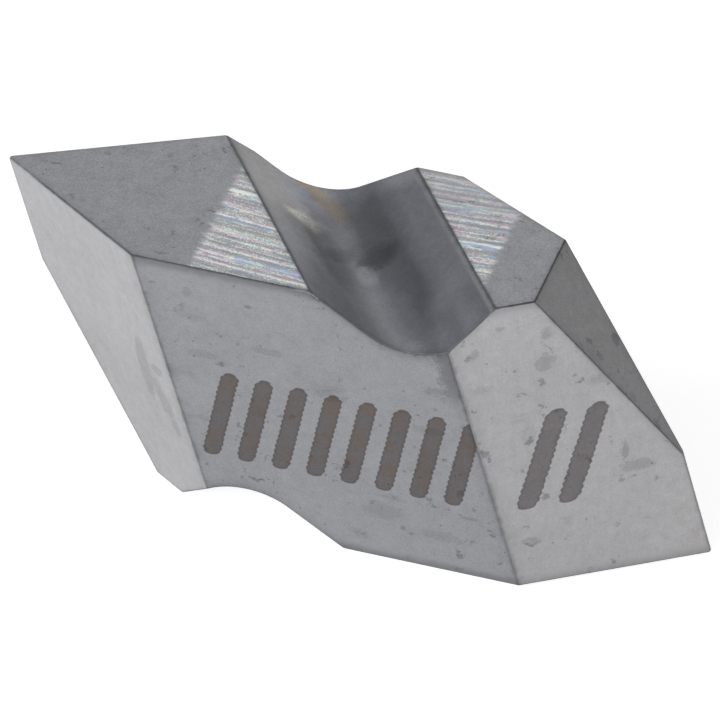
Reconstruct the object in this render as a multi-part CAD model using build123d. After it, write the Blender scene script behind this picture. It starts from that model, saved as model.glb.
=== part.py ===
from build123d import *
import os
from math import cos, radians, sin, tan

# Double-ended threading insert with a clamping notch, one solid of coated cemented carbide.
# Frame in millimetres: +Z up, X from nose to nose, Y across the thickness. The origin is on
# the lower seat, under the middle of the insert. Both ends are alike: one is the other
# turned half round about the Y axis at mid-height, so either seat can face up.

# ---- driving dimensions ----
thickness = 3.81            # between the two ground sides
height = 5.56               # between the upper and the lower seat
nose_reach = 6.41           # from the middle to the sharp corner of each nose

vee_angle = 60.0            # included angle of the threading point, seen in plan
vee_yaw = 3.0               # how far the point's centre line leans towards the back side
front_relief_angle = 8.35   # flank clearance under the front cutting edge
back_relief_angle = 6.75    # flank clearance under the back cutting edge
nose_radius = 0.06          # round of the threading point

end_slant = 34.6            # slope of the end face under the nose, from the vertical
end_foot = 3.4              # from the middle to the line where that face meets the far seat

notch_width = 2.8           # across the clamping notch, at the seat
notch_wall_angle = 39.3     # slope of the notch walls, from the seat
notch_radius = 0.93         # round bottom of the notch
notch_skew = 37.0           # how far the notch runs off square to the sides
notch_shift = 0.05          # from the middle to the notch centre line, along X

notch_rim = 0.1             # rounding where a notch wall rolls over into a seat
edge_hone = 0.035           # rounding on the cutting edges and the other ground corners
blend_turn = 5.0            # faces that meet at less than this many degrees already blend


def block():
    """The blank: a plain bar as long as the two noses reach."""
    seat_up = (Align.CENTER, Align.CENTER, Align.MIN)
    return Box(2 * nose_reach, thickness, height, align=seat_up)


def turned(shape):
    """The shape turned half round about the insert's own axis of symmetry."""
    return shape.rotate(Axis((0, 0, height / 2), (0, 1, 0)), 180)


def keep_inside(shape, point, outward):
    """Grind the shape back to a plane through the point, whose normal points away from it."""
    face = Plane(origin=point, z_dir=outward)
    return split(shape, bisect_by=face, keep=Keep.BOTTOM)


def flank_normal(edge_angle, relief, side):
    """Outward normal of a flank. Its cutting edge lies at edge_angle to X, on the given side."""
    level = cos(radians(relief))
    return (
        -level * sin(radians(edge_angle)),
        side * level * cos(radians(edge_angle)),
        -sin(radians(relief)),
    )


def with_point(shape):
    """Grind the threading point and the slanted end face under it on the -X end."""
    nose = (-nose_reach, 0, height)
    front_angle = vee_angle / 2 + vee_yaw
    back_angle = vee_angle / 2 - vee_yaw
    shape = keep_inside(shape, nose, flank_normal(front_angle, front_relief_angle, -1))
    shape = keep_inside(shape, nose, flank_normal(back_angle, back_relief_angle, 1))
    foot = (-end_foot, 0, 0)
    outward = (-cos(radians(end_slant)), 0, -sin(radians(end_slant)))
    return keep_inside(shape, foot, outward)


def nose_edge(shape):
    """The edge between the two flanks of the -X end: the one that starts at the sharp nose."""
    corner = Vector(-nose_reach, 0, height)
    touching = [e for e in shape.edges() if e.distance_to(corner) < nose_radius / 100]
    return max(touching, key=lambda e: abs(e.tangent_at(0).Z))


def notch_line():
    """The direction in which the notch runs: level, towards the back and the -X side."""
    return Vector(-sin(radians(notch_skew)), cos(radians(notch_skew)), 0)


def notch_cutter():
    """A long prism with sloping walls and a round bottom, lying skewed across the upper seat."""
    along = notch_line()
    across = along.cross(Vector(0, 0, 1))
    # In this plane the second coordinate is the depth under the seat.
    section = Plane(origin=(notch_shift, 0, height), x_dir=across, z_dir=along)
    slope = tan(radians(notch_wall_angle))
    clear = height / 4
    half_top = notch_width / 2 + clear / slope
    outline = Polyline(
        (-half_top, -clear),
        (0, notch_width / 2 * slope),
        (half_top, -clear),
        close=True,
    )
    profile = make_face(outline)
    bottom = profile.vertices().sort_by(Axis.Y)[-1]
    profile = fillet(bottom, notch_radius)
    reach = 2 * thickness + notch_width
    return extrude(section * profile, amount=reach, both=True)


def rims(shape):
    """The two edges where the notch walls meet the upper seat."""
    lengthwise = shape.edges().filter_by(Axis((0, 0, 0), notch_line()))
    return lengthwise.sort_by(Axis.Z)[-2:]


def corner_turn(shape, edge):
    """Angle in degrees between the two faces that meet at the edge."""
    middle = edge.position_at(0.5)
    first, second = [f.normal_at(middle) for f in shape.faces() if edge in f.edges()]
    return first.get_angle(second)


def honed(shape):
    """Round every real corner of the insert; seams between faces that already blend stay."""
    sharp = [e for e in shape.edges() if corner_turn(shape, e) > blend_turn]
    return fillet(sharp, edge_hone)


def insert_body():
    """The whole insert: two points, two notches, then the rounding."""
    body = block()
    cutter = notch_cutter()
    for _ in range(2):
        body = with_point(body)
        body = fillet(nose_edge(body), nose_radius)
        body = body - cutter
        body = fillet(rims(body), notch_rim)
        body = turned(body)
    return honed(body)


os.makedirs("parts", exist_ok=True)
export_step(insert_body(), "parts/insert_body.step")
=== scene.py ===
import bpy
from math import cos, pi, radians, sin, tan
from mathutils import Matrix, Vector

# Double-ended threading insert of coated carbide. Its CAD node keeps its shape and gets one
# procedural material. Lengths below are in millimetres.
MM = 0.001

# ---- the part, as its source has it ----
HEIGHT = 5.56
THICKNESS = 3.81
NOTCH_SKEW = radians(37.0)
NOTCH_SHIFT = 0.05
NOTCH_HALF = 1.4            # half width of the notch at the seat
NOTCH_WALL = radians(39.3)  # slope of its walls
NOTCH_RADIUS = 0.93         # its round bottom
NOTCH_DEPTH = 0.874

# Outward directions of the faces of the +X end, and how far from the origin each one lies.
# The faces of the -X end are the same ones, turned half round about Y.
FRONT_FLANK = ((0.539, -0.830, 0.145), 3.455)
BACK_FLANK = ((0.451, 0.885, 0.118), 2.891)
END_FACE = ((0.823, 0.0, 0.568), 5.956)

# ---- camera ----
LENS = 470.0
SENSOR = 36.0
VIEW_DISTANCE = 161.6
VIEW_TARGET = (0.0, 0.0, HEIGHT / 2)
VIEW_FROM = (0.2395, -0.7330, 0.6367)
SHIFT_X = -0.0012
SHIFT_Y = -0.0083
CLIP_START_M = 0.001
CLIP_END_M = 10.0

# ---- floor and light ----
FLOOR_SIZE = 600.0
FLOOR_GLOW = 0.70           # what the floor adds of its own, so that it shows as white
FLOOR_COLOUR = (0.80, 0.80, 0.80, 1.0)
WORLD_LIGHT = 0.20          # the camera sees the world as 1, which is white

# Each lamp: azimuth it stands at (0 is -Y, 90 is +X), elevation, width, height, watts.
LAMP_DISTANCE = 120.0
LAMPS = {
    "front_left": (-60, 8, 62, 34, 0.142),
    "front_right": (45, 8, 62, 34, 0.071),
    "right": (115, 8, 62, 34, 0.0055),
    "back_low": (-165, 8, 62, 34, 0.030),
    "back_high": (-165, 35, 62, 62, 0.0119),
    "front_high": (-15, 45, 62, 62, 0.015),
}


# ================= helpers for node trees =================

class Graph:
    """Builds one node tree. A value may be a number, a tuple or another node's output."""

    def __init__(self, tree):
        self.tree = tree
        self.tree.nodes.clear()

    def add(self, kind, inputs=(), **settings):
        node = self.tree.nodes.new(kind)
        for name, value in settings.items():
            setattr(node, name, value)
        for key, value in dict(inputs).items():
            self.feed(node.inputs[key], value)
        return node

    def feed(self, socket, value):
        if isinstance(value, bpy.types.NodeSocket):
            self.tree.links.new(value, socket)
        else:
            socket.default_value = value

    def math(self, operation, *values):
        node = self.add("ShaderNodeMath", operation=operation)
        for socket, value in zip(node.inputs, values):
            self.feed(socket, value)
        return node.outputs[0]

    def chain(self, operation, first, *others):
        for other in others:
            first = self.math(operation, first, other)
        return first

    def plus(self, *values):
        return self.chain("ADD", *values)

    def minus(self, first, second):
        return self.math("SUBTRACT", first, second)

    def times(self, *values):
        return self.chain("MULTIPLY", *values)

    def most(self, *values):
        return self.chain("MAXIMUM", *values)

    def size(self, value):
        return self.math("ABSOLUTE", value)

    def line(self, value, slope, start):
        return self.math("MULTIPLY_ADD", value, slope, start)

    def swing(self, value, span):
        """Turns noise between 0 and 1 into a push both ways, span wide in all."""
        return self.line(value, span, -span / 2)

    def length(self, first, second):
        return self.math("SQRT", self.plus(self.times(first, first), self.times(second, second)))

    def dot(self, vector, fixed):
        node = self.add("ShaderNodeVectorMath", {0: vector, 1: fixed}, operation="DOT_PRODUCT")
        return node.outputs["Value"]

    def vector(self, x, y, z=0.0):
        return self.add("ShaderNodeCombineXYZ", {0: x, 1: y, 2: z}).outputs[0]

    def step(self, value, low, high):
        """0 below low, 1 above high and smooth between; falls instead where high < low."""
        if high < low:
            facts = (value, high, low, 1.0, 0.0)
        else:
            facts = (value, low, high, 0.0, 1.0)
        node = self.add("ShaderNodeMapRange", enumerate(facts), interpolation_type="SMOOTHSTEP")
        return node.outputs[0]

    def mix(self, amount, first, second):
        """Blends two colours, each a plain tuple or another node's output."""
        node = self.add("ShaderNodeMix", {"Factor": amount}, data_type="RGBA")
        for socket, value in zip(node.inputs[6:8], (first, second)):
            self.feed(socket, (*value, 1.0) if isinstance(value, tuple) else value)
        return node.outputs[2]

    def darker(self, tone, mask, share):
        """Lowers a tone by that share where the mask is 1; a negative share lifts it."""
        return self.times(tone, self.line(mask, -share, 1.0))

    def noise(self, vector, scale, detail, roughness=0.5, stretch=None):
        """3-D noise, scale per millimetre. Stretch lengthens its features along each axis."""
        if stretch:
            squeeze = [1 / s for s in stretch]
            node = self.add("ShaderNodeVectorMath", {0: vector, 1: squeeze}, operation="MULTIPLY")
            vector = node.outputs[0]
        facts = {"Vector": vector, "Scale": scale, "Detail": detail, "Roughness": roughness}
        return self.add("ShaderNodeTexNoise", facts).outputs[0]

    def line_noise(self, value, scale, detail):
        """Noise that varies along one value only."""
        facts = {"W": value, "Scale": scale, "Detail": detail}
        return self.add("ShaderNodeTexNoise", facts, noise_dimensions="1D").outputs[0]

    def cells(self, vector, scale):
        """(distance to the nearest of many scattered points, a random value for that point)."""
        node = self.add("ShaderNodeTexVoronoi", {"Vector": vector, "Scale": scale})
        colour = self.add("ShaderNodeSeparateColor", {0: node.outputs["Color"]})
        return node.outputs["Distance"], colour.outputs[0]

    def blob(self, across, along, centre, size, ragged=None, raggedness=0.0):
        """A soft oval spot in two coordinates: 1 at the centre and 0 outside its size."""
        a = self.math("DIVIDE", self.minus(across, centre[0]), size[0])
        b = self.math("DIVIDE", self.minus(along, centre[1]), size[1])
        spread = self.plus(self.times(a, a), self.times(b, b))
        if ragged is not None:
            spread = self.plus(spread, self.swing(ragged, raggedness))
        return self.step(spread, 1.0, 0.1)


# ================= camera, floor and light =================

def place_facing(thing, direction, distance):
    """Stands a thing that far from the target, looking at it."""
    thing.location = Vector(VIEW_TARGET) * MM + direction * (distance * MM)
    thing.rotation_euler = (-direction).to_track_quat("-Z", "Y").to_euler()
    bpy.context.collection.objects.link(thing)


def make_camera():
    data = bpy.data.cameras.new("camera")
    data.lens = LENS
    data.sensor_width = SENSOR
    data.shift_x = SHIFT_X
    data.shift_y = SHIFT_Y
    data.clip_start = CLIP_START_M
    data.clip_end = CLIP_END_M
    camera = bpy.data.objects.new("camera", data)
    place_facing(camera, Vector(VIEW_FROM).normalized(), VIEW_DISTANCE)
    bpy.context.scene.camera = camera


def make_floor():
    half = FLOOR_SIZE / 2 * MM
    mesh = bpy.data.meshes.new("floor")
    corners = [(-half, -half, 0), (half, -half, 0), (half, half, 0), (-half, half, 0)]
    mesh.from_pydata(corners, [], [(0, 1, 2, 3)])
    floor = bpy.data.objects.new("floor", mesh)
    bpy.context.collection.objects.link(floor)
    material = bpy.data.materials.new("floor_white")
    material.use_nodes = True
    g = Graph(material.node_tree)
    path = g.add("ShaderNodeLightPath").outputs
    seen = g.most(path["Is Camera Ray"], path["Is Glossy Ray"], path["Is Transmission Ray"])
    matt = g.add("ShaderNodeBsdfDiffuse", {"Color": FLOOR_COLOUR})
    glow = g.add("ShaderNodeEmission", {"Strength": g.times(seen, FLOOR_GLOW)})
    total = g.add("ShaderNodeAddShader", {0: matt.outputs[0], 1: glow.outputs[0]})
    g.add("ShaderNodeOutputMaterial", {"Surface": total.outputs[0]})
    mesh.materials.append(material)


def make_lamp(name, azimuth, elevation, width, height, watts):
    data = bpy.data.lights.new(name, "AREA")
    data.shape = "RECTANGLE"
    data.size = width * MM
    data.size_y = height * MM
    data.energy = watts
    lamp = bpy.data.objects.new(name, data)
    lamp.visible_camera = False
    level = cos(radians(elevation))
    turn = radians(azimuth)
    direction = Vector((level * sin(turn), -level * cos(turn), sin(radians(elevation))))
    place_facing(lamp, direction, LAMP_DISTANCE)


def make_world():
    world = bpy.data.worlds.new("studio")
    bpy.context.scene.world = world
    world.use_nodes = True
    g = Graph(world.node_tree)
    path = g.add("ShaderNodeLightPath").outputs
    back = g.add("ShaderNodeBackground", {"Strength": g.most(path["Is Camera Ray"], WORLD_LIGHT)})
    g.add("ShaderNodeOutputWorld", {"Surface": back.outputs[0]})


# ================= where on the insert a point lies =================

# Each pair is where a mask starts and where it is full.
FACING = (0.96, 0.99)       # how well a normal agrees with that of a face
NOTCH_FACING = (0.68, 0.74) # how far a normal in the notch leans towards the seat's own
SEAT_DEPTH = (0.03, 0.01)
NOTCH_BELOW = (0.03, 0.09)  # depth under the seat
NOTCH_UNDER = (0.05, 0.02)  # depth under the notch's own surface
EDGE_SLACK = 0.003          # how far outside its planes a point on the insert may lie


class Place:
    """Coordinates in millimetres, and masks that follow the shape of the insert.

    The insert is alike when turned half round about Y at mid-height. So x_up and depth are
    measured from the nearer seat, and at_end is the point as if it were on the +X end."""

    def __init__(self, g):
        coord = g.add("ShaderNodeTexCoord").outputs
        scaled = {0: coord["Object"], "Scale": 1 / MM}
        self.point = g.add("ShaderNodeVectorMath", scaled, operation="SCALE").outputs[0]
        self.x, self.y, self.z = g.add("ShaderNodeSeparateXYZ", {0: self.point}).outputs
        nx, ny, nz = g.add("ShaderNodeSeparateXYZ", {0: coord["Normal"]}).outputs
        from_middle = g.minus(self.z, HEIGHT / 2)
        self.upper = g.math("GREATER_THAN", self.z, HEIGHT / 2)
        up = g.line(self.upper, 2.0, -1.0)
        self.x_up = g.times(self.x, up)
        self.normal_up = g.times(nz, up)
        self.depth = g.minus(HEIGHT / 2, g.size(from_middle))
        self.right = g.math("GREATER_THAN", self.x, 0.0)
        end = g.line(self.right, 2.0, -1.0)
        z_end = g.math("MULTIPLY_ADD", from_middle, end, HEIGHT / 2)
        at_end = g.vector(g.size(self.x), self.y, z_end)
        facing = g.vector(g.times(nx, end), ny, g.times(nz, end))
        self.find_notch(g)
        # How far inside each face the point lies, as a number below 0.
        faces = (FRONT_FLANK, BACK_FLANK, END_FACE)
        self.inside = [g.minus(g.dot(at_end, way), reach) for way, reach in faces]
        self.inside.append(g.minus(g.size(self.y), THICKNESS / 2))
        self.inside.append(g.times(self.depth, -1.0))
        self.inside.append(g.times(self.under, -cos(NOTCH_WALL)))
        masks = [g.step(g.dot(facing, way), *FACING) for way, reach in faces]
        self.front_flank, back_flank, self.end = masks
        self.front = g.step(ny, -FACING[0], -FACING[1])
        self.side = g.step(g.size(ny), *FACING)
        self.seat = g.times(g.step(self.normal_up, *FACING), g.step(self.depth, *SEAT_DEPTH))
        self.right_front = g.times(self.front_flank, self.right)
        self.left_front = g.times(self.front_flank, g.minus(1.0, self.right))
        flat = g.most(self.front_flank, back_flank, self.end, self.side, self.seat, self.notch)
        self.corner = g.minus(1.0, flat)

    def find_notch(self, g):
        """u runs across the notch, v along it, and under is the depth below its own surface."""
        shifted = g.minus(self.x_up, NOTCH_SHIFT)
        c, s = cos(NOTCH_SKEW), sin(NOTCH_SKEW)
        self.u = g.plus(g.times(shifted, c), g.times(self.y, s))
        self.v = g.minus(g.times(self.y, c), g.times(shifted, s))
        away = g.size(self.u)
        wall = g.times(g.minus(NOTCH_HALF, away), tan(NOTCH_WALL))
        bow = g.math("SQRT", g.most(g.minus(NOTCH_RADIUS ** 2, g.times(away, away)), 0))
        bottom = g.plus(bow, NOTCH_DEPTH - NOTCH_RADIUS)
        pick = g.math("GREATER_THAN", away, NOTCH_RADIUS * sin(NOTCH_WALL))
        surface = g.add("ShaderNodeMix", {"Factor": pick, 2: bottom, 3: wall}, data_type="FLOAT")
        self.under = g.minus(self.depth, surface.outputs[0])
        self.notch = g.times(
            g.step(self.depth, *NOTCH_BELOW),
            g.step(self.normal_up, *NOTCH_FACING),
            g.step(self.under, *NOTCH_UNDER),
        )

    def edge(self, g, width):
        """1 on the corners, falling to 0 at that width from them, whatever faces meet there."""
        total = -1.0
        for one in self.inside:
            near = g.math("DIVIDE", g.plus(one, EDGE_SLACK), width)
            total = g.plus(total, g.step(near, -1.0, 0.0))
        return g.math("MINIMUM", g.most(total, 0.0), 1.0)


# ================= the coated carbide =================

BASE = (0.318, 0.322, 0.342)
FLANK_BASE = (0.322, 0.322, 0.330)
METALLIC = 0.8
GRAZING = (0.50, 0.50, 0.50, 1.0)   # the mirror shine that the fine grind keeps at low angles

# How much darker than the bare coating each face is painted; below 0 it is painted lighter. This
# is mostly painted light and shade for how the light falls on each face; the end faces are also
# darker as sintered.
SIDE_SHADE_SHARE = 0.15
END_SHADE_SHARE = 0.11
SEAT_LIGHT_SHARE = -0.165
RIGHT_FLANK_SHADE_SHARE = 0.085
LEFT_FLANK_LIGHT_SHARE = -0.22
LEFT_FLANK_LIT_TOP = (1.8, 3.6)         # heights between which the left flank is painted lighter, as painted light
LEFT_FLANK_TOP_LIGHT_SHARE = -0.08

# ---- fine structure of the coating ----

GRAIN_SCALE = 30.0
GRAIN_SHARE = 0.60
GRAIN_ON_SEATS = 0.45               # more of it there
GRAIN_ON_FLANKS = -0.18
MOTTLE_SCALE = 5.5
MOTTLE_SHARE = 0.26
CLOUD_SCALE = 0.9
CLOUD_SHARE = 0.16
PIT_CELLS = 2.9
PIT_CHANCE = (0.62, 1.0)            # which of the scattered points grow into pits
PIT_REACH = 0.10
PIT_WARP = 0.10
PIT_EDGE = -0.05
PIT_DEPTH = 0.9
PIT_SHARE = 0.34
SPECK_SCALE = 4.6
SPECK_STRETCH = (1.3, 1.0, 1.0)
SPECK_LEVELS = (0.60, 0.69)
SPECK_PATCHES = (0.36, 0.56)        # they gather where the cloud noise is above this
SPECK_SHARE = 0.36
SMEAR_SCALE = 1.9
SMEAR_STRETCH = (2.4, 1.0, 0.8)
SMEAR_LEVELS = (0.60, 0.74)
SMEAR_SHARE = 0.14
DOT_CELLS = 4.3
DOT_CHANCE = 0.74
DOT_GROWTH = 0.05
DOT_EDGE = (0.07, 0.03)
DOT_SHARE = 0.34
LEFT_FLANK_CLEAN = 0.75             # how free of pits and specks the left flank is
BRUSH_SCALE = 9.0
BRUSH_STRETCH = (0.5, 0.5, 14.0)
BRUSH_SHARE = 0.10
FLECK_LEVELS = (0.60, 0.74)
FLECK_SHARE = -0.22                 # bright grains on the seats


def coating(g, p):
    """(tone near 1 with grain, mottling, pits, specks and wiped smears; grain; mottle; pits)."""
    grain = g.noise(p.point, GRAIN_SCALE, detail=2.5, roughness=0.7)
    coarse = g.line(p.seat, GRAIN_ON_SEATS, GRAIN_SHARE)
    coarse = g.math("MULTIPLY_ADD", p.front_flank, GRAIN_ON_FLANKS, coarse)
    tone = g.darker(1.0, g.times(g.minus(grain, 0.5), coarse), 1.0)
    mottle = g.noise(p.point, MOTTLE_SCALE, detail=3.0, roughness=0.6)
    tone = g.darker(tone, g.minus(mottle, 0.5), MOTTLE_SHARE)
    cloud = g.noise(p.point, CLOUD_SCALE, detail=2.0)
    tone = g.darker(tone, g.minus(cloud, 0.5), CLOUD_SHARE)
    ground = g.minus(1.0, g.most(p.notch, g.times(p.left_front, LEFT_FLANK_CLEAN)))

    distance, chance = g.cells(p.point, PIT_CELLS)
    reach = g.times(g.step(chance, *PIT_CHANCE), PIT_REACH)
    near = g.minus(g.plus(distance, g.swing(mottle, PIT_WARP)), reach)
    pits = g.times(g.step(near, 0.0, PIT_EDGE), PIT_DEPTH)
    tone = g.darker(tone, g.times(pits, ground), PIT_SHARE)

    speck = g.noise(
        p.point, SPECK_SCALE, detail=3.0, roughness=0.7, stretch=SPECK_STRETCH)
    specks = g.times(g.step(speck, *SPECK_LEVELS), g.step(cloud, *SPECK_PATCHES), ground)
    tone = g.darker(tone, specks, SPECK_SHARE)

    smear = g.noise(
        p.point, SMEAR_SCALE, detail=4.0, roughness=0.6, stretch=SMEAR_STRETCH)
    smears = g.times(g.step(smear, *SMEAR_LEVELS), ground, g.minus(1.0, p.seat))
    tone = g.darker(tone, smears, SMEAR_SHARE)

    distance, chance = g.cells(p.point, DOT_CELLS)
    near = g.step(g.minus(distance, g.times(chance, DOT_GROWTH)), *DOT_EDGE)
    dots = g.times(near, g.math("GREATER_THAN", chance, DOT_CHANCE), ground)
    return g.darker(tone, dots, DOT_SHARE), grain, mottle, pits


def brushed(g, p, tone, grain):
    """Upright grinding lines on the flanks and the end faces, bright grains on the seats."""
    lines = g.noise(p.point, BRUSH_SCALE, detail=2.0, stretch=BRUSH_STRETCH)
    ground = g.most(p.front_flank, p.end)
    tone = g.darker(tone, g.times(ground, g.minus(lines, 0.5)), BRUSH_SHARE)
    return g.darker(tone, g.times(p.seat, g.step(grain, *FLECK_LEVELS)), FLECK_SHARE)


# ---- painted glints of the grinding lines on the lands beside the notch ----

LAND_EDGE = (2.52, 2.39)            # from the middle to where the streaks stop
LAND_WAVER = 0.20                   # how far that edge wavers from line to line
WAVER_SCALE = 9.0
LAND_FRAY = 0.24                    # and how far it frays with the grain
ARC_CENTRE = (0.4, 22.0)            # the streaks are arcs about this point
LINE_SCALE = 12.0
LINE_SHARE = 0.40
BAND_SCALE = 4.5
BAND_SHARE = 0.34
BROKEN_STRETCH = (2.2, 20.0)        # noise per millimetre along the streaks and across them
BROKEN_SHARE = 0.32
GRAIN_IN_GLINTS = 0.85
GLINT_OFFSET = -0.455              # keeps their level near a half
TINT_STRETCH = (1.1, 5.5)
GLINT_LEVELS = (0.38, 0.66)        # where the painted glints begin to show, and where they are full
GLINT_FAINT = 0.04                 # strength of the painted glint between the streaks
GLINT_GAIN = 0.94                  # what a full painted glint adds to that
DULL_FROM = (0.50, 1.35)            # they fade out between these distances to the back
DULL_RIGHT = 0.38
DULL_LEFT = 0.80
# Colours of the painted glints.
GLINT_TINTS = (
    (0.00, (0.70, 0.70, 0.74)),
    (0.38, (0.50, 0.56, 0.80)),
    (0.43, (0.70, 0.86, 0.88)),
    (0.48, (0.90, 0.94, 0.78)),
    (0.52, (0.80, 0.80, 0.84)),
    (0.57, (0.92, 0.68, 0.76)),
    (0.62, (0.82, 0.88, 0.94)),
    (1.00, (0.80, 0.84, 0.74)),
)


def arc_noise(g, p, radius, stretch, roughness):
    """Noise that follows the arcs, with its own scale along them and across them."""
    along, across = stretch
    flat = g.vector(g.times(p.x_up, along), g.times(radius, across))
    return g.noise(flat, 1.0, detail=3.0, roughness=roughness)


def grind_glints(g, p, grain):
    """(strength, colour) of the painted bright coloured glints along the grinding arcs."""
    radius = g.length(g.minus(p.x_up, ARC_CENTRE[0]), g.minus(p.y, ARC_CENTRE[1]))
    waver = g.swing(g.line_noise(radius, WAVER_SCALE, detail=1.0), LAND_WAVER)
    side = g.plus(g.size(p.x_up), waver, g.swing(grain, LAND_FRAY))
    land = g.times(p.seat, g.step(side, *LAND_EDGE))

    broken = arc_noise(g, p, radius, BROKEN_STRETCH, roughness=0.65)
    lines = g.line_noise(radius, LINE_SCALE, detail=3.0)
    bands = g.line_noise(radius, BAND_SCALE, detail=2.0)
    level = g.plus(g.times(lines, LINE_SHARE), g.times(broken, BROKEN_SHARE))
    level = g.plus(level, g.times(bands, BAND_SHARE))
    level = g.plus(level, g.line(grain, GRAIN_IN_GLINTS, GLINT_OFFSET))
    bright = g.line(g.step(level, *GLINT_LEVELS), GLINT_GAIN, GLINT_FAINT)
    left = g.math("LESS_THAN", p.x_up, 0.0)
    dull = g.line(left, DULL_LEFT - DULL_RIGHT, DULL_RIGHT)
    fade = g.line(g.times(g.step(p.y, *DULL_FROM), dull), -1.0, 1.0)

    hue = arc_noise(g, p, radius, TINT_STRETCH, roughness=0.6)
    ramp = g.add("ShaderNodeValToRGB", {"Fac": hue})
    points = ramp.color_ramp.elements
    while len(points) < len(GLINT_TINTS):
        points.new(0.5)
    for point, (at, tint) in zip(points, GLINT_TINTS):
        point.position = at
        point.color = (*tint, 1.0)
    return g.times(land, g.times(bright, fade)), ramp.outputs[0]


# ---- the notch ----

# Painted light and shade in the notch, as zones of (u, v), (half width, half length), share: a
# share above 0 darkens, as painted shade, and below 0 lightens, as painted light, for how light
# falls in the hollow.
NOTCH_LIGHT_AND_SHADE = (
    ((0.55, -0.30), (0.38, 4.00), -0.24),
    ((-0.50, 0.35), (0.34, 1.30), 0.32),
    ((0.02, -1.60), (0.50, 1.60), -0.28),
    ((0.00, -0.22), (0.24, 0.34), -0.36),
    ((0.03, 1.02), (0.30, 0.46), -0.08),
    ((-0.25, 1.60), (0.30, 1.10), 0.18),
    ((0.30, 0.13), (0.46, 0.34), 0.36),
    ((0.20, 1.80), (0.60, 0.55), -0.20),
    ((-0.30, 0.40), (0.34, 0.28), 0.24),
    ((0.16, 0.50), (0.34, 0.22), 0.12),
    ((0.42, 0.70), (0.28, 0.80), 0.08),
    ((1.42, -0.60), (0.46, 4.50), 0.20),
    ((-1.00, -1.10), (0.45, 1.30), 0.16),
    ((-1.25, 0.40), (0.40, 1.50), -0.18),
    ((-0.85, 2.30), (0.95, 1.20), -0.34),
    ((0.56, -2.45), (0.44, 0.85), 0.30),
    ((1.05, -2.55), (0.75, 1.05), 0.24),
)
ZONE_WARP = (0.24, 0.26)            # how far their outlines wander along u and v
LEFT_WALL_FROM = (-0.20, -0.60)     # u between which the painted light on the left wall sets in
LEFT_WALL_LIGHT_SHARE = -0.22
BACK_RIM_FROM = (1.45, 1.85)        # y between which the painted light on the back end of the notch sets in
BACK_RIM_SIDE = (-0.5, 0.1)         # and u between which it does
BACK_RIM_LIGHT_SHARE = -0.40
NOTCH_COOL = (0.98, 0.99, 1.04)     # tint of the right wall
COOL_FROM = (-0.6, 0.5)             # u between which it sets in
NOTCH_WARM = (1.03, 1.0, 0.95)      # tint of the left wall, towards the back
WARM_FROM = (-0.5, -0.9)
WARM_BACK = (0.2, 1.6)              # v between which it sets in
HEAT_TINT = (0.36, 0.29, 0.20)
HEAT_BLUE = (0.30, 0.34, 0.42)
HEAT_FROM = (1.1, 1.5)              # v between which the heat tint sets in
HEAT_LINE = (1.7, 0.24, 0.0)        # the brown streak: see leaning_line
HEAT_WIDTH = (0.24, 0.04)
HEAT_WANDER = 0.5
HEAT_MIX = 0.62
HEAT_BLUE_MIX = 0.6
HEAT_BLUE_CENTRE = (-0.32, 2.15)
HEAT_BLUE_SIZE = (0.20, 0.35)
HEAT_BLUE_RAGGEDNESS = 1.2
BRUISE_TINT = (0.70, 0.69, 0.63)
BRUISE_CENTRE = (-0.63, 1.31)
BRUISE_SIZE = (0.42, 0.38)
BRUISE_RAGGEDNESS = 1.6
BRUISE_LINE = (1.32, 0.9, 0.60)     # it lies along this line: see leaning_line
BRUISE_WIDTH = (0.42, 0.10)
BRUISE_GRAIN = (0.34, 0.54)         # it breaks up where the grain is below this
BRUISE_MIX = 0.85


def tinted(colour, tint):
    return tuple(c * t for c, t in zip(colour, tint))


def paint_notch_light_and_shade(g, p, tone, mottle):
    """Painted light and shade in the notch: a lit middle, darker lines beside it, a darker front
    end, and a lighter left wall and back end.
    """
    u = g.plus(p.u, g.swing(mottle, ZONE_WARP[0]))
    v = g.plus(p.v, g.swing(mottle, ZONE_WARP[1]))
    for centre, size, share in NOTCH_LIGHT_AND_SHADE:
        tone = g.darker(tone, g.times(p.notch, g.blob(u, v, centre, size)), share)
    left_wall = g.times(p.notch, g.step(p.u, *LEFT_WALL_FROM))
    tone = g.darker(tone, left_wall, LEFT_WALL_LIGHT_SHARE)
    back_rim = g.times(p.notch, g.step(p.y, *BACK_RIM_FROM), g.step(p.u, *BACK_RIM_SIDE))
    return g.darker(tone, back_rim, BACK_RIM_LIGHT_SHARE)


def notch_colour(g, p, colour):
    """A cool tint on the right wall of the notch and a warm one on the left."""
    cool = g.times(p.notch, g.step(p.u, *COOL_FROM))
    colour = g.mix(cool, colour, tinted(BASE, NOTCH_COOL))
    warm = g.times(p.notch, g.step(p.u, *WARM_FROM), g.step(p.v, *WARM_BACK))
    return g.mix(warm, colour, tinted(BASE, NOTCH_WARM))


def leaning_line(g, p, start, lean, shift):
    """How far across the notch from a line at u = -shift - lean x (v - start)."""
    return g.plus(p.u, g.times(g.minus(p.v, start), lean), shift)


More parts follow.
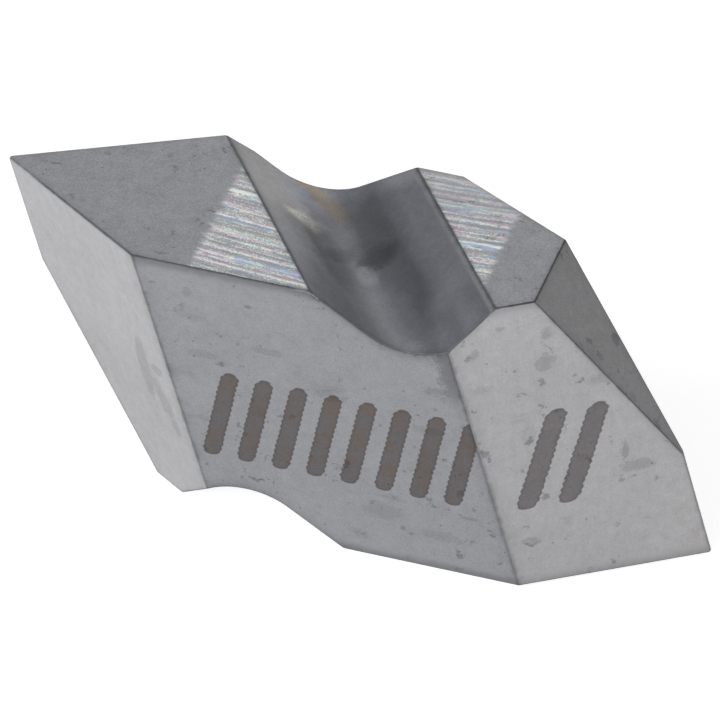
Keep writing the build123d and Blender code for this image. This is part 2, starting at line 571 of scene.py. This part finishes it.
def notch_stains(g, p, colour, mottle, grain):
    """Heat tint near the back end of the upper notch, and a bright bruise beside it."""
    reach = g.times(g.step(p.v, *HEAT_FROM), p.upper, p.notch)
    spot = g.blob(p.u, p.v, HEAT_BLUE_CENTRE, HEAT_BLUE_SIZE, mottle, HEAT_BLUE_RAGGEDNESS)
    colour = g.mix(g.times(reach, spot, HEAT_BLUE_MIX), colour, HEAT_BLUE)
    away = g.plus(leaning_line(g, p, *HEAT_LINE), g.swing(mottle, HEAT_WANDER))
    brown = g.times(reach, g.step(g.size(away), *HEAT_WIDTH))
    colour = g.mix(g.times(brown, HEAT_MIX), colour, HEAT_TINT)
    bruise = g.times(
        p.upper, p.notch,
        g.step(g.size(leaning_line(g, p, *BRUISE_LINE)), *BRUISE_WIDTH),
        g.blob(p.u, p.v, BRUISE_CENTRE, BRUISE_SIZE, mottle, BRUISE_RAGGEDNESS),
        g.step(grain, *BRUISE_GRAIN),
    )
    return g.mix(g.times(bruise, BRUISE_MIX), colour, BRUISE_TINT)


# ---- corners: wear and painted shade ----

EDGE_LINE = 0.040                   # mean reach of the dark line along a corner, partly wear and partly painted shade
EDGE_WAVER = 0.05                   # how much that reach varies
EDGE_PATCHES = 1.4                  # and how much its darkness does
EDGE_LINE_WEAR_SHADE_SHARE = 0.30
EDGE_HALO = 0.16                    # reach of the soft painted shade beside it
EDGE_HALO_SHADE_SHARE = 0.10
CORNER_SHADE_SHARE = 0.30                 # on the rounding itself: painted shade against the light the rounding catches
RIM_DEPTH = (0.16, 0.08)            # depth below the seat at which a notch rim ends
RIM_REACH = (0.26, 0.14)            # and how far across
LEFT_RIM_LIGHT_SHARE = -0.75              # the rims and the threading points are painted lighter on their roundings, as painted light
RIGHT_RIM_LIGHT_SHARE = -0.28
TIP_LIGHT_SHARE = -0.60
TIP_FROM = (5.4, 5.9)
MOUTH_SOFT = 0.34                   # reach of the soft grey round the notch mouth
MOUTH_SOFT_SHARE = 0.10
MOUTH_DUST = (0.13, 0.03)           # reach of the dark dust closer to it
MOUTH_DUST_GRAIN = (0.35, 0.6)
MOUTH_DUST_FRAY = 0.5
MOUTH_DUST_SHARE = 0.24
SEAM_REACH = (0.22, 0.04)           # rough dark band on a side, just under the seat
SEAM_FRAY = 0.30
SEAM_ON_FLANK = 0.5                 # how strong it is on the right flank
SEAM_SHARE = 0.30
FLANK_BAND_LOW = (3.55, 4.15)              # the darker band beside the right flank: its foot,
FLANK_BAND_REACH = (-0.22, -0.10)          # and how far inside the flank it lies
FLANK_BAND_FRAY = (0.20, 0.16)             # with the mottling, and with the grain
FLANK_BAND_SHARE = 0.34


def corners(g, p, tone, mottle, grain):
    """Dark lines along the corners, partly wear and partly painted shade; painted light on the
    notch rims and threading points; darker places beside the notch and the right flank.
    """
    width = g.plus(g.swing(mottle, EDGE_WAVER), EDGE_LINE)
    uneven = g.plus(g.swing(mottle, EDGE_PATCHES), 1.0)
    tone = g.darker(tone, g.times(p.edge(g, width), uneven), EDGE_LINE_WEAR_SHADE_SHARE)
    tone = g.darker(tone, p.edge(g, EDGE_HALO), EDGE_HALO_SHADE_SHARE)
    tone = g.darker(tone, p.corner, CORNER_SHADE_SHARE)

    from_rim = g.size(g.minus(g.size(p.u), NOTCH_HALF))
    rim = g.times(p.corner, g.step(p.depth, *RIM_DEPTH), g.step(from_rim, *RIM_REACH))
    tone = g.darker(tone, g.times(rim, g.math("LESS_THAN", p.u, 0.0)), LEFT_RIM_LIGHT_SHARE)
    tone = g.darker(tone, g.times(rim, g.math("GREATER_THAN", p.u, 0.0)), RIGHT_RIM_LIGHT_SHARE)
    tone = g.darker(tone, g.times(p.corner, g.step(g.size(p.x), *TIP_FROM)), TIP_LIGHT_SHARE)

    tone = g.darker(tone, g.times(p.side, g.step(p.under, MOUTH_SOFT, 0.0)), MOUTH_SOFT_SHARE)
    reach = g.plus(p.under, g.swing(grain, MOUTH_DUST_FRAY))
    dust = g.times(p.side, g.step(reach, *MOUTH_DUST), g.step(grain, *MOUTH_DUST_GRAIN))
    tone = g.darker(tone, dust, MOUTH_DUST_SHARE)

    reach = g.plus(p.depth, g.swing(grain, SEAM_FRAY), g.swing(mottle, SEAM_FRAY))
    where = g.most(p.front, g.times(p.right_front, SEAM_ON_FLANK))
    tone = g.darker(tone, g.times(where, g.step(reach, *SEAM_REACH)), SEAM_SHARE)

    frayed = g.plus(g.swing(mottle, FLANK_BAND_FRAY[0]), g.swing(grain, FLANK_BAND_FRAY[1]))
    reach = g.plus(p.inside[0], frayed)
    high = g.step(p.z, *FLANK_BAND_LOW)
    flank_band = g.times(p.front, p.right, high, g.step(reach, *FLANK_BAND_REACH))
    return g.darker(tone, flank_band, FLANK_BAND_SHARE)


# ---- smudges in their own places ----

# Each one as (x or y, z), (half width, half height), share.
FRONT_SMUDGES = (
    ((-1.39, 4.95), (0.10, 0.05), 0.25),
    ((-2.48, 5.00), (0.10, 0.12), 0.14),
    ((-1.05, 4.05), (0.42, 0.09), 0.12),
    ((0.10, 3.35), (0.34, 0.14), 0.16),
    ((-2.20, 3.70), (0.40, 0.09), 0.12),
    ((1.95, 3.95), (0.30, 0.10), 0.16),
    ((1.80, 3.05), (0.34, 0.10), 0.12),
    ((1.05, 1.05), (0.50, 0.20), 0.12),
    ((2.05, 0.75), (0.45, 0.14), 0.12),
    ((2.60, 1.28), (0.24, 0.05), 0.18),
)
FLANK_SMUDGES = (
    ((3.62, 4.36), (0.20, 0.22), 0.22),
    ((2.53, 4.68), (0.13, 0.14), 0.20),
    ((4.43, 3.87), (0.22, 0.16), 0.15),
    ((4.92, 2.36), (0.08, 0.20), 0.24),
    ((5.10, 2.02), (0.28, 0.13), 0.20),
    ((3.45, 3.00), (0.11, 0.26), 0.10),
    ((3.62, 4.92), (0.10, 0.14), 0.14),
    ((2.91, 5.13), (0.09, 0.07), 0.20),
    ((3.63, 0.86), (0.20, 0.09), 0.20),
)
END_SMUDGES = (
    ((0.30, 4.02), (0.13, 0.10), 0.30),
    ((-0.35, 4.12), (0.07, 0.07), 0.22),
    ((-0.25, 3.30), (0.08, 0.10), 0.16),
    ((-0.15, 2.70), (0.10, 0.12), 0.22),
)
SMUDGE_RAGGEDNESS = 4.0
SMUDGE_GAIN = 1.4


def smudges(g, p, tone, mottle):
    """Ragged dark spots on the front, the right flank and the right end face."""
    plans = (
        (p.front, p.x, FRONT_SMUDGES),
        (p.right_front, p.x, FLANK_SMUDGES),
        (g.times(p.end, p.right), p.y, END_SMUDGES),
    )
    for face, across, spots in plans:
        for centre, size, share in spots:
            spot = g.blob(across, p.z, centre, size, mottle, SMUDGE_RAGGEDNESS)
            spot = g.math("MINIMUM", g.times(spot, SMUDGE_GAIN), 1.0)
            tone = g.darker(tone, g.times(face, spot), share)
    return tone


# ---- the printed mark: a plain hatch of slanted bars ----

BAR_PITCH = 0.62
BAR_FIRST = -1.90                   # centre of the first bar, at mid-height of the row
BAR_LEAN = 0.20
BAR_HALF_LENGTH = 0.78
BAR_HALF_WIDTH = 0.150
BAR_ROW = 2.45                      # height of the row
DOT_PITCH = 0.115                   # the bars are burnt as chains of dots
DOT_BULGE = 0.022
BAR_FUZZ = 0.012
BAR_WAVER = 0.05
FRONT_BARS = (0, 8)                 # the bars that fall on the front: from, and up to
FLANK_BARS = (9, 11)                # and those on the right flank
INK_RIM = (-0.06, -0.01)            # the bars are darker this near their outline
INK_RIM_SHARE = 0.16
INK = (0.143, 0.134, 0.138)
INK_BROWN = (0.158, 0.132, 0.118)
BROWN_PATCHES = (0.44, 0.64)        # the bars are brown where the mottling is above this
RUST = (0.320, 0.300, 0.290)        # worn brown on the right flank, towards its point
RUST_FROM = (5.5, 6.3)              # x between which it sets in
RUST_PATCHES = (0.40, 0.60)         # it lies where the mottling is above this
RUST_MIX = 0.7


def bars_between(g, face, count, first, last):
    after = g.math("GREATER_THAN", count, first - 0.5)
    return g.times(face, after, g.math("LESS_THAN", count, last - 0.5))


def hatch(g, p, mottle):
    """(mask of the bars, mask of their darker rims)."""
    rise = g.minus(p.z, BAR_ROW)
    level = g.minus(p.x, g.times(rise, BAR_LEAN))
    count = g.math("DIVIDE", g.minus(level, BAR_FIRST), BAR_PITCH)
    cell = g.minus(g.math("FRACT", g.plus(count, 0.5)), 0.5)
    past = g.most(g.minus(g.size(rise), BAR_HALF_LENGTH), 0.0)
    away = g.length(g.times(cell, BAR_PITCH), past)
    wave = g.size(g.math("SINE", g.times(p.z, pi / DOT_PITCH)))
    width = g.line(wave, DOT_BULGE, BAR_HALF_WIDTH)
    inside = g.minus(g.plus(away, g.swing(mottle, BAR_WAVER)), width)
    bar = g.step(inside, BAR_FUZZ, -BAR_FUZZ)
    on_front = bars_between(g, p.front, count, *FRONT_BARS)
    on_flank = bars_between(g, p.right_front, count, *FLANK_BARS)
    ink = g.times(bar, g.most(on_front, on_flank))
    return ink, g.times(ink, bar, g.step(inside, *INK_RIM))


# A faint wiped mark on the left flank, in three parts: lean, (x, z), (half width, half
# height), raggedness.
GHOST_PARTS = (
    (0.16, (-3.38, 2.75), (0.16, 0.80), 2.2),
    (0.45, (-3.13, 2.20), (0.15, 0.62), 4.5),
    (0.00, (-3.14, 2.92), (0.16, 0.13), 2.5),
)
GHOST_GAIN = 2.6
GHOST_SHARE = 0.17


def ghost(g, p, mottle):
    """Mask of what is left of a mark on the left flank, rubbed to a shapeless smudge."""
    rise = g.minus(p.z, BAR_ROW)
    parts = [
        g.blob(g.math("MULTIPLY_ADD", rise, lean, p.x), p.z, centre, size, mottle, raggedness)
        for lean, centre, size, raggedness in GHOST_PARTS
    ]
    full = g.math("MINIMUM", g.times(g.most(*parts), GHOST_GAIN), 1.0)
    return g.times(p.left_front, full)


def ink_colour(g, p, colour, ink, mottle):
    """The burnt bars, brownish in places, and the worn end of the right flank."""
    rust = g.times(p.right_front, g.step(p.x, *RUST_FROM), g.step(mottle, *RUST_PATCHES))
    colour = g.mix(g.times(rust, RUST_MIX), colour, RUST)
    burnt = g.times(p.front, g.step(mottle, *BROWN_PATCHES))
    return g.mix(ink, colour, g.mix(burnt, INK, INK_BROWN))


# ---- the material as a whole ----

ROUGHNESS = 0.37
ROUGHNESS_BY_MOTTLE = 0.10
ROUGHNESS_IN_NOTCH = 0.14
ROUGHNESS_ON_CORNERS = 0.35
ROUGHNESS_OF_INK = 0.10
ROUGHNESS_OF_GLINTS = -0.05
PIT_RELIEF = -1.5
INK_RELIEF = -0.8
RELIEF_STRENGTH = 0.35
RELIEF_HEIGHT = 0.004


def make_carbide():
    """The one material: coated carbide with its wear, its grind, the printed hatch, and painted
    light, shade and glints.
    """
    material = bpy.data.materials.new("coated_carbide")
    material.use_nodes = True
    g = Graph(material.node_tree)
    p = Place(g)
    tone, grain, mottle, pits = coating(g, p)
    # Painted light and shade: each face is made lighter or darker by how its light falls.
    lit_left_top = g.times(p.left_front, g.step(p.z, *LEFT_FLANK_LIT_TOP))
    face_light_and_shade = (
        (p.side, SIDE_SHADE_SHARE),
        (p.end, END_SHADE_SHARE),
        (p.seat, SEAT_LIGHT_SHARE),
        (p.right_front, RIGHT_FLANK_SHADE_SHARE),
        (p.left_front, LEFT_FLANK_LIGHT_SHARE),
        (lit_left_top, LEFT_FLANK_TOP_LIGHT_SHARE),
    )
    for face, share in face_light_and_shade:
        tone = g.darker(tone, face, share)
    # Painted light and shade in the notch.
    tone = paint_notch_light_and_shade(g, p, tone, mottle)
    # Corner lines, partly wear and partly painted shade, and painted light on the rims and
    # points.
    tone = corners(g, p, tone, mottle, grain)
    tone = smudges(g, p, tone, mottle)
    tone = brushed(g, p, tone, grain)
    ink, rim = hatch(g, p, mottle)
    tone = g.darker(tone, ghost(g, p, mottle), GHOST_SHARE)
    tone = g.darker(tone, rim, INK_RIM_SHARE)

    # Painted glints along the grinding arcs, mixed into the colour below.
    grind_glint, grind_glint_colour = grind_glints(g, p, grain)
    colour = g.mix(g.most(p.front_flank, p.end), BASE, FLANK_BASE)
    colour = notch_colour(g, p, colour)
    colour = ink_colour(g, p, colour, ink, mottle)
    colour = notch_stains(g, p, colour, mottle, grain)
    colour = g.mix(grind_glint, colour, grind_glint_colour)
    shaded = g.add("ShaderNodeVectorMath", {0: colour, "Scale": tone}, operation="SCALE")

    rough = g.plus(
        g.line(mottle, ROUGHNESS_BY_MOTTLE, ROUGHNESS),
        g.times(p.notch, ROUGHNESS_IN_NOTCH),
        g.times(p.corner, ROUGHNESS_ON_CORNERS),
        g.times(ink, ROUGHNESS_OF_INK),
        g.times(grind_glint, ROUGHNESS_OF_GLINTS),
    )
    relief = g.plus(grain, g.times(pits, PIT_RELIEF), g.times(ink, INK_RELIEF))
    bump = g.add("ShaderNodeBump", {
        "Height": relief, "Strength": RELIEF_STRENGTH, "Distance": RELIEF_HEIGHT * MM})
    surface = g.add("ShaderNodeBsdfPrincipled", {
        "Base Color": shaded.outputs[0],
        "Metallic": METALLIC,
        "Specular Tint": GRAZING,
        "Roughness": rough,
        "Normal": bump.outputs[0],
    })
    g.add("ShaderNodeOutputMaterial", {"Surface": surface.outputs[0]})
    return material


def dress(node):
    material = make_carbide()
    for slot in node.material_slots:
        slot.link = "OBJECT"
        slot.material = material


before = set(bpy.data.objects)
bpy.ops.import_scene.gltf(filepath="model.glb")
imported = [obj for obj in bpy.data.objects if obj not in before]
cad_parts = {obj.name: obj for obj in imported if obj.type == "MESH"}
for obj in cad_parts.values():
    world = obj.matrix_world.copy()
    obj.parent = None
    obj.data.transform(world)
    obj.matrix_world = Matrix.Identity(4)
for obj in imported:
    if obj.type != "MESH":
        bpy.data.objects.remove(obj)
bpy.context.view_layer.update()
bpy.context.scene.view_settings.view_transform = "Standard"
make_camera()
make_floor()
for name, facts in LAMPS.items():
    make_lamp(name, *facts)
make_world()
dress(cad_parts["insert_body"])
